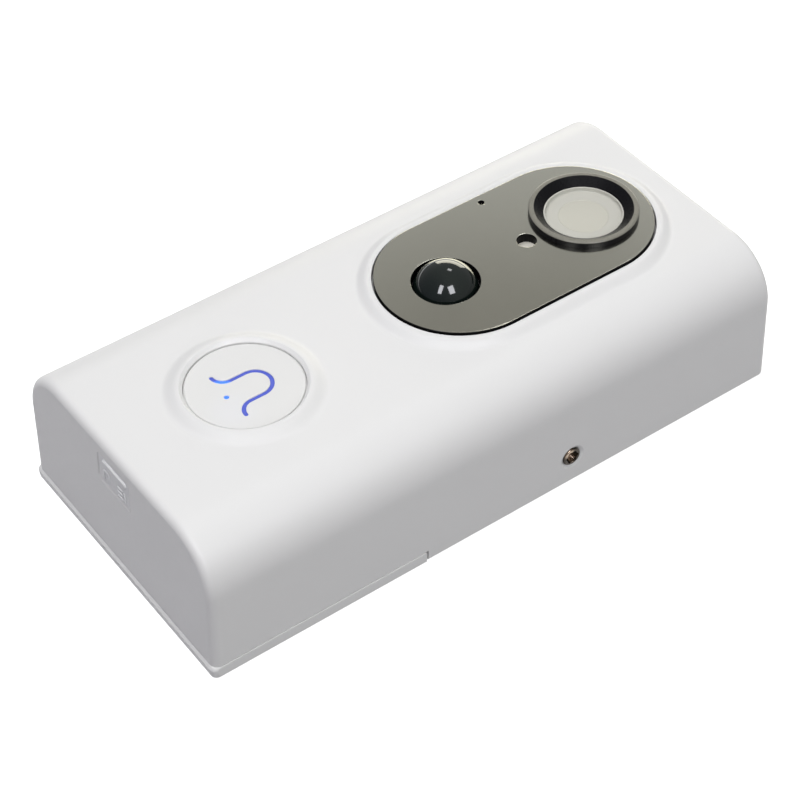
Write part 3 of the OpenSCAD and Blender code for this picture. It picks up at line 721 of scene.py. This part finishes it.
def cover_shell(bm):
    """The cover's walls, with the raised rims, the panel's pocket and the holes in it."""
    outer_rows = [(0, 0.3), (0.35, 0)]
    outer_top, outer_rim = shell_loft(bm, half_w, body_h, SIDE_ROUND, END_ROUND, 0, outer_rows, 10, 32)
    inside = WALL + LEDGE_WIDTH
    inner_z = body_h - TOP_WALL
    inner_rows = [(0, -LEDGE_WIDTH), (LEDGE_Z, -LEDGE_WIDTH), (LEDGE_Z, 0)]
    inner_top, inner_rim = shell_loft(
        bm, half_w - inside, inner_z, SIDE_ROUND - inside, 0.3, inside, inner_rows, 3, 12
    )
    fill(bm, outer_rim, inner_rim)
    panel_line = ramp_line(half_w - SIDE_ROUND - 0.3, pocket_r + RIM_WIDTH, pocket_r, pocket_z)
    panel_foot, pocket_floor = skin(bm, [stadium(panel_x, panel_straight, r, z) for r, z in panel_line])
    button_line = ramp_line(bore_r + BUTTON_RAMP, bore_r + BUTTON_RIM, bore_r, inner_z, BUTTON_FUNNEL)
    button_foot, bore_end = skin(bm, [circle(button_x, 0, r, z) for r, z in button_line])
    fill(bm, outer_top, panel_foot, button_foot)
    upper, lower = [], [bore_end]
    for (x, y, r), gap in zip(openings, (0.1, 0.45, 0.3, 0.3)):
        high, low = skin(bm, [circle(x, y, r + gap, z, 48) for z in (pocket_z, inner_z)])
        upper.append(high)
        lower.append(low)
    fill(bm, pocket_floor, *upper)
    fill(bm, inner_top, *lower)


def door_notch():
    """Cutter for the notch above the door."""
    return block((-90, -50, -5), (notch_x, 50, door_z + SEAM))


def flap_outline(grow, mouth=0.0, cut=1.35):
    """Outline of the charging flap in Y and Z, with one corner cut off. The mouth widens two sides only."""
    left, right = -flap_y - grow, flap_y + grow + mouth
    low, high = flap_low.z - grow * 1.1 - mouth, flap_high.z + grow
    turn = 0.5 + max(grow, 0)
    corners = [(left, low), (right - cut, low), (right, low + cut), (right, high), (left, high)]
    corners = [(y, z, turn) for y, z in corners]
    return rounded(corners, 4, closed=True)


def end_pocket():
    """Cutter for the flap's pocket in the end wall, chamfered along two sides of its mouth.

    Its corner is cut less than the flap's, which swings through it.
    """
    floor_x = flap_high.x - 0.45
    mouth = cover_x - end_x(flap_low.z)
    levels = ((floor_x, 0), (mouth + 0.45, 0), (mouth - 0.03, 0.65), (mouth - 3, 0.65))
    return tower_x([(x, flap_outline(0.1, wider, 0.95)) for x, wider in levels])


def port_holes():
    """Cutters through the end wall for the charging port and the reset pin."""
    slot = box_outline(port_y, port_z, 4.2, 1.65, 1.6, 6)
    pin = flat(circle(reset_y, port_z, 0.9, 0, 32))
    return [tower_x([(-72, outline), (-60, outline)]) for outline in (slot, pin)]


def screw_place(turn):
    """From an axis along Z to the security screw's place in the side wall."""
    return Matrix.Translation((screw_x, -half_w, screw_z)) @ Matrix.Rotation(math.radians(turn), 4, "X")


def screw_hole():
    """Cutter for the security screw: a hole, a seat for the head and a chamfer."""
    hole_r, seat_r, mouth_r = 1.65, 2.16, 2.95
    bottom, seat, top = -6, -1.7, 3
    line = [(0, bottom), (hole_r, bottom), (hole_r, seat), (seat_r, seat), (seat_r, -0.5)]
    line += [(mouth_r, 0.02), (mouth_r, top), (0, top)]
    cutter = lathe(line, steps=64)
    cutter.data.transform(screw_place(90))
    return cutter


def speaker_holes():
    """Cutters for the speaker's row of slots, with softened mouths."""
    pitch, slot_half = 2.4, 3
    cutters = []
    for i in range(-3, 4):
        x = speaker_x + pitch * i
        rings = []
        for depth, r in ((-4, 0.5), (-0.3, 0.5), (0, 0.75), (1, 0.75)):
            loop = stadium(0, slot_half, r, 0, 12)
            rings.append([(x + v, half_w + depth, speaker_z + u) for u, v, _ in loop])
        cutters.append(tower(rings))
    return cutters


def cover_posts():
    """Screw bosses at the cover's corners and around the camera."""
    inner_z = body_h - TOP_WALL
    corner_x, corner_y, camera_step = 61, 26, 10.8
    spots = [(sx * corner_x, sy * corner_y, 3, 6.7, inner_z - 4) for sy in (1, -1) for sx in (1, -1)]
    for sx in (-1, 1):
        spots += [(lens_x + sx * camera_step, sy * camera_step, 2, 22.2, inner_z + 0.6) for sy in (-1, 1)]
    posts = []
    for x, y, r, bottom, top in spots:
        bore, floor = r / 2, bottom + 6
        line = [(0, floor), (bore, floor), (bore, bottom), (r, bottom), (r, top), (0, top)]
        posts.append(lathe(line, x, y, 32))
    return posts


def make_cover(material):
    bm = bmesh.new()
    cover_shell(bm)
    cover = solid(bm)
    combine(cover, cover_posts(), "UNION")
    combine(cover, [door_notch(), end_pocket(), *port_holes(), screw_hole(), *speaker_holes()], "DIFFERENCE")
    return finish_piece(cover, "cover_shell", material, "housing", ["front_cover"], 20)


# ---------- panel, camera and sensors ----------


def make_panel(material):
    edge = 0.12
    top = panel_high.z
    line = rounded([(panel_r, panel_low.z), (panel_r, top, edge), (panel_r - 0.5, top)], 4)
    bm = bmesh.new()
    outer_low, outer_high = skin(bm, [stadium(panel_x, panel_straight, r, z) for r, z in line])
    tops, bottoms = [], []
    for x, y, r in openings:
        lip = min(0.08, r * 0.1)
        hole = rounded([(r + 0.35, top), (r, top, lip), (r, panel_low.z)], 3)
        high, low = skin(bm, [circle(x, y, u, v) for u, v in hole])
        tops.append(high)
        bottoms.append(low)
    fill(bm, outer_high, *tops)
    fill(bm, outer_low, *bottoms)
    return finish_piece(solid(bm), "face_panel", material, "housing", ["front_panel"])


def make_ring(material):
    """Raised ring around the camera window: an upright wall, a narrow top and a cone down to the window."""
    top = ring_high.z
    film_r = film_high.y
    lip = film_high.z + 0.05
    neck = ring_r - 0.8
    inner_r = 10
    line = [(inner_r, ring_low.z), (neck, ring_low.z), (neck, panel_high.z), (ring_r, panel_high.z, 0.05),
            (ring_r, top, 0.42), (ring_r - 1.15, top, 0.12), (film_r + 0.1, lip, 0.1),
            (film_r + 0.1, film_low.z), (inner_r, film_low.z)]
    ring = lathe(rounded(line, 6), lens_x, 0, 128)
    return finish_piece(ring, "camera_ring", material, "housing", ["lens_ring"])


def make_film(material):
    """Milky cup over the camera window, with a shallow step around its middle."""
    r = film_high.y
    top = film_high.z
    thick = film_floor - film_low.z
    step_r = 5.35
    middle_z = film_floor - 0.12
    line = [(0, film_low.z), (r, film_low.z), (r, top, 0.1), (r - thick, top, 0.1),
            (r - thick, film_floor, 0.35), (step_r, film_floor, 0.2), (step_r - 0.25, middle_z, 0.2),
            (0, middle_z)]
    film = lathe(rounded(line, 5), lens_x, 0, 128)
    return finish_piece(film, "window_film", material, "housing", ["lens_film"], 60)


def dome_line(r, steps):
    """Radius and height along a dome, from its top to its foot."""
    turns = [math.pi / 2 * k / steps for k in range(steps + 1)]
    return [(r * math.sin(a), pir_z + r * math.cos(a)) for a in turns]


def make_dome(material):
    """Hollow dome of the motion sensor, with its flange under the panel."""
    inner_r = PIR_R - 0.8
    flange_r, flange_z = dome_high.y, 30.3
    flange = [(PIR_R, flange_z), (flange_r, flange_z), (flange_r, dome_low.z), (inner_r, dome_low.z)]
    dome = lathe(dome_line(PIR_R, 28) + flange + dome_line(inner_r, 12)[::-1], pir_x, 0)
    return finish_piece(dome, "sensor_dome", material, "housing", ["pir_lens"])


# ---------- call button ----------


def bell_line():
    """Centre line of the bell from one flare to the other, with its crown towards +X."""
    crown, flare, crown_x, side_x = 3.5, 2.75, 2, -1.25
    steps = 14
    half = []
    for k in range(steps + 1):
        a = math.pi / 2 * k / steps
        half.append((side_x - flare * math.cos(a), crown + flare - flare * math.sin(a)))
    for k in range(steps + 1):
        a = math.pi / 2 * k / steps
        half.append((crown_x + crown * math.sin(a), crown * math.cos(a)))
    return half + [(x, -y) for x, y in reversed(half[:-1])]


def stroke_outline(line, width, cap_steps=6):
    """Outline of a stroke with round ends, anticlockwise."""
    points = [Vector(p) for p in line]
    left, right = [], []
    for i, point in enumerate(points):
        along = (points[min(i + 1, len(points) - 1)] - points[max(i - 1, 0)]).normalized()
        side = Vector((-along.y, along.x)) * width / 2
        left.append(point + side)
        right.append(point - side)
    ends = []
    for point, start in ((points[-1], right[-1]), (points[0], left[0])):
        arm = start - point
        ends.append([point + Matrix.Rotation(math.pi * k / cap_steps, 2) @ arm for k in range(1, cap_steps)])
    return right + ends[0] + left[::-1] + ends[1]


def bell_solids(width, dot_r, z0, z1):
    """The bell's stroke and its dot as closed solids, a little off the button's centre."""
    shift = Vector((button_x + BELL_SHIFT[0], BELL_SHIFT[1]))
    dot = flat(circle(BELL_DOT_X, 0, dot_r, 0, 32))
    found = []
    for outline in (stroke_outline(bell_line(), width), dot):
        moved = [shift + p for p in outline]
        found.append(tower_z([(z0, moved), (z1, moved)]))
    return found


def make_cap(material):
    """Button cap: a cup with a flange, a shallow groove around its face, and the bell sunk into it."""
    flange_r, skirt_r, inner_r, foot_r = cap_high.y, bore_r - 0.08, 10.7, 2.2
    foot_z, flange_z, floor_z = 29.75, 30.1, 31.5
    line = [(0, foot_z), (foot_r, foot_z), (foot_r, floor_z), (inner_r, floor_z), (inner_r, cap_low.z),
            (flange_r, cap_low.z), (flange_r, flange_z), (skirt_r, flange_z), (skirt_r, cap_top - 0.45),
            (button_r, cap_top - 0.35), (button_r, cap_top, 0.3), (0, cap_top)]
    cap = lathe(rounded(line, 5), button_x, 0, 128)
    combine(cap, bell_solids(0.9, 0.55, cap_top - 0.9, cap_top + 1), "DIFFERENCE")
    return finish_piece(cap, "call_button_cap", material, "call_button", ["button_cap"])


def make_bell(material):
    """Light guide that glows at the bottom of the sunk bell."""
    stroke, dot = bell_solids(0.88, 0.52, cap_top - 0.85, cap_top - 0.2)
    combine(stroke, [dot], "UNION")
    return finish_piece(stroke, "bell_light_guide", material, "call_button", ["bell_symbol"])


# ---------- charging flap ----------


def raised(outlines, base, height, edge):
    """Low bosses on the flap's face, from outlines in Y and Z, with rounded upper edges."""
    levels = ((base + 0.15, 0), (base - height + edge, 0), (base - height, -edge))
    return [tower_x([(x, grown(outline, grow)) for x, grow in levels]) for outline in outlines]


def bar(y, z, half, r, turn=0.0):
    """Outline of a bar with round ends, around y and z."""
    spin = Matrix.Rotation(math.radians(turn), 2)
    return [spin @ p + Vector((y, z)) for p in flat(stadium(0, half, r, 0, 8))]


def make_flap(material):
    """Rubber flap over the charging port: a plate with a plug, a grip bar and plain raised marks.

    Its face leans like the end wall around it.
    """
    face = flap_low.x + 0.35
    back = face + 1.7
    levels = ((back, 0), (face + 0.12, 0), (face + 0.04, -0.04), (face, -0.12))
    flap = tower_x([(x, grown(flap_outline(0), grow)) for x, grow in levels])
    plug = box_outline(port_y, port_z, 3.6, 1.2, 1)
    grip = bar(-0.4, flap_high.z - 1.1, 3.6, 0.8)
    low = flap_low.z
    mark_r = 0.24
    marks = [bar(y, low + 2.2, 1.0, mark_r, 90) for y in (3.7, 2.0)]
    marks += [bar(2.85, low + 3.5, 0.6, mark_r)]
    marks += [bar(-2.2, low + 0.9 + 1.1 * i, 0.7, mark_r) for i in range(3)]
    marks += [bar(-4.0, low + 2.0, 1.0, mark_r, 80)]
    parts = [tower_x([(back - 0.1, plug), (flap_high.x, plug)])]
    parts += raised([grip], face, 0.34, 0.25)
    parts += raised(marks, face, 0.2, 0.1)
    combine(flap, parts, "UNION")
    for vertex in flap.data.vertices:
        if vertex.co.x < face + 1:
            vertex.co.x += END_DRAFT / body_h * (vertex.co.z - flap_low.z)
    return finish_piece(flap, "port_flap", material, "charging_flap", ["usb_cover"], 30)


# ---------- battery door ----------


def door_body():
    """The door's tray without its hollow, from its round foot up to its sloped lip."""
    corner = 1.3
    # Height, then how far the end and the sides stand in.
    rows = [(0, 0.4, 0.3), (0.1, 0.25, 0.1), (0.3, 0.18, 0), (2.05, 0, 0), (2.15, 0.02, 0)]
    rows += [(door_z - 0.14, 0.38, 0), (door_z - 0.04, 0.46, 0.06), (door_z, 0.6, 0.2)]
    levels = []
    for z, end_in, side_in in rows:
        left, side = door_low.x + end_in, door_high.y - side_in
        corners = [(left, -side, corner), (door_front, -side), (door_front, side), (left, side, corner)]
        levels.append((z, rounded(corners, 8, closed=True)))
    return tower_z(levels)


def tongue_outline(start, end, half):
    """Outline of the door's tongue or of its rails, with round corners at the free end."""
    return rounded([(start, -half), (end, -half, 1.5), (end, half, 1.5), (start, half)], 6, closed=True)


def finger_grooves():
    """Cutters for the grooves across the door that a finger holds."""
    first_x, pitch, half_len = -61.5, 2.2, 11.5
    cutters = []
    for i in range(5):
        levels = []
        for z, half in ((-0.2, 0.62), (0.25, 0.4), (0.5, 0.15)):
            levels.append((z, box_outline(first_x + pitch * i, 0, half, half_len + half)))
        cutters.append(tower_z(levels))
    return cutters


def make_door(material):
    """Battery door: a tray with a sloped lip, a tongue with rails, a finger grip and a label recess."""
    wall = 2
    y = door_high.y - wall
    door = door_body()
    tray = block((door_low.x + wall, -y, wall), (door_front - wall, y, door_z + 1))
    reach = TONGUE_Y + RAIL + 0.3
    step = block((door_front - wall - 0.1, -reach, wall), (door_front + 1, reach, door_z + 1))
    combine(door, [tray, step], "DIFFERENCE")
    tongue = soft_plate(tongue_outline(door_front - 0.5, door_high.x, TONGUE_Y), 0, 1.999, 0.2)
    rail_line = tongue_outline(door_front - 0.4, door_high.x - 0.01, TONGUE_Y + RAIL)
    rails = tower_z([(0.95, rail_line), (1.95, rail_line)])
    combine(door, [rails, tongue], "UNION")
    label = box_outline(-27, 0, 19, 15, 1)
    recess = tower_z([(-1, label), (0.25, label)])
    combine(door, [*finger_grooves(), recess], "DIFFERENCE")
    return finish_piece(door, "door_tray", material, "door", ["battery_door"])


# ---------- security screw ----------


def make_screw(material):
    """Tamper-resistant screw: a rounded head with a six-lobe recess and a threaded shank."""
    head_r, head_h, shank_r, pitch = 2.1, 1.45, 1.5, 0.5
    length = screw_high.y - screw_low.y
    line = [(0, 0.1), (1.5, 0.05), (1.66, 0), (1.78, 0.01), (1.88, 0.03), (1.97, 0.07), (2.05, 0.12)]
    line += [(head_r, 0.19), (head_r, head_h), (shank_r, head_h)]
    for k in range(int((length - head_h - 0.4) / pitch)):
        z = head_h + pitch * k
        line += [(shank_r - 0.22, z + pitch * 0.3), (shank_r, z + pitch * 0.8)]
    line += [(shank_r - 0.4, length), (0, length)]
    screw = lathe(line, steps=64)
    rings = []
    for z, size in ((-1, 1.5), (0.35, 1.45), (1.3, 0.9)):
        loop = []
        for k in range(72):
            a = 2 * math.pi * k / 72
            r = size * (1 + 0.1 * math.cos(6 * a))
            loop.append((r * math.cos(a), r * math.sin(a), z))
        rings.append(loop)
    combine(screw, [tower(rings)], "DIFFERENCE")
    screw.data.transform(screw_place(-90))
    return finish_piece(screw, "tamper_screw", material, "housing", ["security_screw"])


# ---------- carried-over CAD nodes ----------


def carry(material, nodes, edge):
    """Gives CAD nodes their material and breaks their sharp edges by a width in millimetres."""
    for node in nodes:
        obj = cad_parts[node]
        obj.data.materials.clear()
        obj.data.materials.append(material)
        if not edge:
            continue
        weld = obj.modifiers.new("weld", "WELD")
        weld.merge_threshold = 0.001 * MM
        flat = obj.modifiers.new("flat", "DECIMATE")
        flat.decimate_type = "DISSOLVE"
        flat.angle_limit = math.radians(0.5)
        bevel = obj.modifiers.new("edges", "BEVEL")
        bevel.width = edge * MM
        bevel.segments = 2
        bevel.limit_method = "ANGLE"
        bevel.angle_limit = math.radians(40)
        bevel.harden_normals = True
        smooth = obj.modifiers.new("normals", "WEIGHTED_NORMAL")
        smooth.weight = 50


def carry_all():
    steel = metal("zinc_steel", (0.6, 0.6, 0.6), 0.3)
    shield = metal("tinned_shield", (0.68, 0.67, 0.64), 0.34, 1500)
    spring = metal("spring_steel", (0.58, 0.57, 0.55), 0.24)
    carry(rear_plastic(), ["rear_housing"], 0.18)
    carry(bracket_plastic(), ["wall_bracket"], 0.2)
    carry(black_rubber(), ["housing_gasket", "speaker_gasket", "mic_boot", "panel_tape"], 0)
    carry(steel, ["housing_screws", "pcb_screws"], 0.06)
    carry(label_paper(), ["door_label"], 0.04)
    carry(window_glass(), ["lens_window"], 0.06)
    carry(board_finish(), ["ir_board", "camera_pcb", "pir_pcb", "button_pcb", "usb_pcb", "main_pcb"], 0.08)
    carry(led_finish(), ["ir_leds", "button_leds"], 0.05)
    carry(black_plastic(), ["lens_barrel", "lens_holder", "button_plunger", "reset_plunger", "speaker"], 0.1)
    carry(chip_finish(), ["image_sensor", "light_sensor", "pcb_components", "wifi_module"], 0.06)
    carry(flex_finish(), ["camera_flex", "button_flex", "usb_flex"], 0)
    carry(shield, ["pir_sensor", "soc_shield", "usb_port", "microphone"], 0.08)
    carry(shield, ["button_switch", "reset_switch"], 0.08)
    carry(pipe_finish(), ["light_pipe"], 0.05)
    carry(spring, ["button_spring", "battery_springs"], 0)
    carry(metal("gold_contact", (0.75, 0.55, 0.2), 0.28), ["battery_contacts"], 0.05)
    carry(metal("brass_antenna", (0.7, 0.5, 0.22), 0.3), ["antenna"], 0.04)
    carry(moulded("wire_red", (0.35, 0.02, 0.02), 0.4).material, ["battery_wires"], 0)
    carry(cell_finish(), ["battery_left", "battery_right"], 0.15)


# ---------- stage, light and camera ----------

CAMERA_PLACE = Vector((-195.8, -277.0, 339.4))
CAMERA_HEADING = 34.98
CAMERA_PITCH = -44.44
CAMERA_ROLL = -1.36
CAMERA_LENS = 102.27


def make_camera():
    data = bpy.data.cameras.new("camera")
    data.lens = CAMERA_LENS
    data.sensor_width = 36
    data.clip_start = 0.01
    camera = bpy.data.objects.new("camera", data)
    bpy.context.scene.collection.objects.link(camera)
    camera.location = CAMERA_PLACE * MM
    turn = Matrix.Rotation(math.radians(-CAMERA_HEADING), 3, "Z")
    tilt = Matrix.Rotation(math.radians(90 + CAMERA_PITCH), 3, "X")
    roll = Matrix.Rotation(math.radians(CAMERA_ROLL), 3, "Z")
    camera.rotation_euler = (turn @ tilt @ roll).to_euler()
    bpy.context.scene.camera = camera


def stage_object(name, bm, material):
    mesh = bpy.data.meshes.new(name)
    bm.to_mesh(mesh)
    bm.free()
    mesh.materials.append(material)
    obj = bpy.data.objects.new(name, mesh)
    bpy.context.scene.collection.objects.link(obj)
    return obj


def stage_material(name):
    """An empty material for the stage, its nodes and its output socket."""
    material = bpy.data.materials.new(name)
    material.use_nodes = True
    material.node_tree.nodes.clear()
    nodes = Nodes(material.node_tree)
    return material, nodes, nodes.add("ShaderNodeOutputMaterial").inputs[0]


def make_floor():
    """Pale floor that shows from above only, so that the back can be seen from below."""
    material, nodes, surface = stage_material("floor")
    paint = nodes.add("ShaderNodeBsdfDiffuse", Color=(0.6, 0.6, 0.6, 1))
    glow = nodes.add("ShaderNodeEmission", Strength=0.85)
    clear = nodes.add("ShaderNodeBsdfTransparent")
    both = nodes.add("ShaderNodeAddShader")
    pick = nodes.add("ShaderNodeMixShader", Fac=nodes.add("ShaderNodeNewGeometry").outputs["Backfacing"])
    nodes.put(both.inputs[0], paint.outputs[0])
    nodes.put(both.inputs[1], glow.outputs[0])
    nodes.put(pick.inputs[1], both.outputs[0])
    nodes.put(pick.inputs[2], clear.outputs[0])
    nodes.put(surface, pick.outputs[0])
    bm = bmesh.new()
    bm.faces.new(add_loop(bm, circle(0, 0, 3, -0.00002)))
    floor = stage_object("floor", bm, material)
    floor.visible_diffuse = False


def make_backdrop():
    """Plain bright dome that only the camera sees."""
    material, nodes, surface = stage_material("backdrop")
    nodes.put(surface, nodes.add("ShaderNodeEmission", Strength=1.1).outputs[0])
    bm = bmesh.new()
    bmesh.ops.create_uvsphere(bm, u_segments=32, v_segments=16, radius=5)
    backdrop = stage_object("backdrop", bm, material)
    for ray in ("diffuse", "glossy", "transmission", "volume_scatter", "shadow"):
        setattr(backdrop, "visible_" + ray, False)


def make_sky():
    """Soft studio light from all sides: bright from above, dim from below, dimmer and bluish from -X."""
    world = bpy.data.worlds.new("studio")
    bpy.context.scene.world = world
    world.use_nodes = True
    nodes = Nodes(world.node_tree)
    place = nodes.add("ShaderNodeTexCoord").outputs["Generated"]
    parts = nodes.add("ShaderNodeSeparateXYZ", Vector=place).outputs
    ramp = nodes.add("ShaderNodeValToRGB")
    nodes.put(ramp.inputs[0], nodes.math("ADD", nodes.math("MULTIPLY", parts["Z"], 0.5), 0.5))
    dim, bright, top = (0.34, 0.335, 0.35), (0.8, 0.8, 0.81), (1, 1, 0.99)
    stops = ramp.color_ramp.elements
    stops.remove(stops[1])
    for i, (position, colour) in enumerate(((0, dim), (0.47, dim), (0.56, bright), (1, top))):
        stop = stops[0] if i == 0 else stops.new(position)
        stop.position = position
        stop.color = (*colour, 1)
    shade = nodes.mix(nodes.fade(parts["X"], -1, 0.2), (0.5, 0.48, 0.58), (1, 1, 1))
    background = nodes.tree.nodes["Background"].inputs
    nodes.put(background["Color"], nodes.mix(1, ramp.outputs[0], shade, "MULTIPLY"))
    nodes.put(background["Strength"], 0.46)


def softbox(name, place, target, width, height, power, colour=(1, 1, 1)):
    """A rectangular light at a place, towards a target, in metres. Shiny surfaces don't show it."""
    data = bpy.data.lights.new(name, "AREA")
    data.shape = "RECTANGLE"
    data.size = width
    data.size_y = height
    data.energy = power
    data.color = colour
    lamp = bpy.data.objects.new(name, data)
    bpy.context.scene.collection.objects.link(lamp)
    lamp.location = place
    lamp.rotation_euler = (Vector(target) - Vector(place)).to_track_quat("-Z", "Y").to_euler()
    lamp.visible_camera = False
    lamp.visible_glossy = False
    return lamp


def reflection(name, heading, pitch, width, height, glow, colour=(1, 1, 1)):
    """A bright panel that shows in shiny surfaces only. Heading is in degrees from +Y towards +X."""
    turn, rise = math.radians(heading), math.radians(pitch)
    place = Vector((math.sin(turn) * math.cos(rise), math.cos(turn) * math.cos(rise), math.sin(rise)))
    lamp = softbox(name, place, (0, 0, 0.03), width, height, glow * math.pi * width * height, colour)
    lamp.visible_glossy = True
    lamp.visible_diffuse = False


def make_lights():
    make_sky()
    softbox("overhead", (-0.25, 0.15, 1.3), (0, 0, 0), 1.0, 1.0, 11.7)
    softbox("near_side", (-0.25, -1.05, 0.62), (0, 0, 0), 0.8, 0.8, 4.8)
    reflection("window_left", -118, 49, 0.22, 0.5, 12, (0.95, 0.95, 1))
    reflection("window_right", -172, 47, 0.32, 0.46, 12, (0.95, 0.95, 1))
    reflection("lamp", 55, 56, 0.17, 0.15, 7)
    reflection("far_wall", 45, 13, 0.8, 0.36, 5, (1, 0.96, 0.8))
    view = bpy.context.scene.view_settings
    view.view_transform = "Standard"
    view.look = "None"


# ---------- the whole ----------

make_camera()
make_floor()
make_backdrop()
make_lights()

white = white_plastic()
make_cover(white)
make_panel(panel_finish())
make_ring(ring_finish())
make_film(film_finish())
make_dome(dome_finish())
make_cap(cap_plastic())
make_bell(bell_light())
make_flap(soft_white_rubber())
make_door(white)
make_screw(screw_finish())
carry_all()
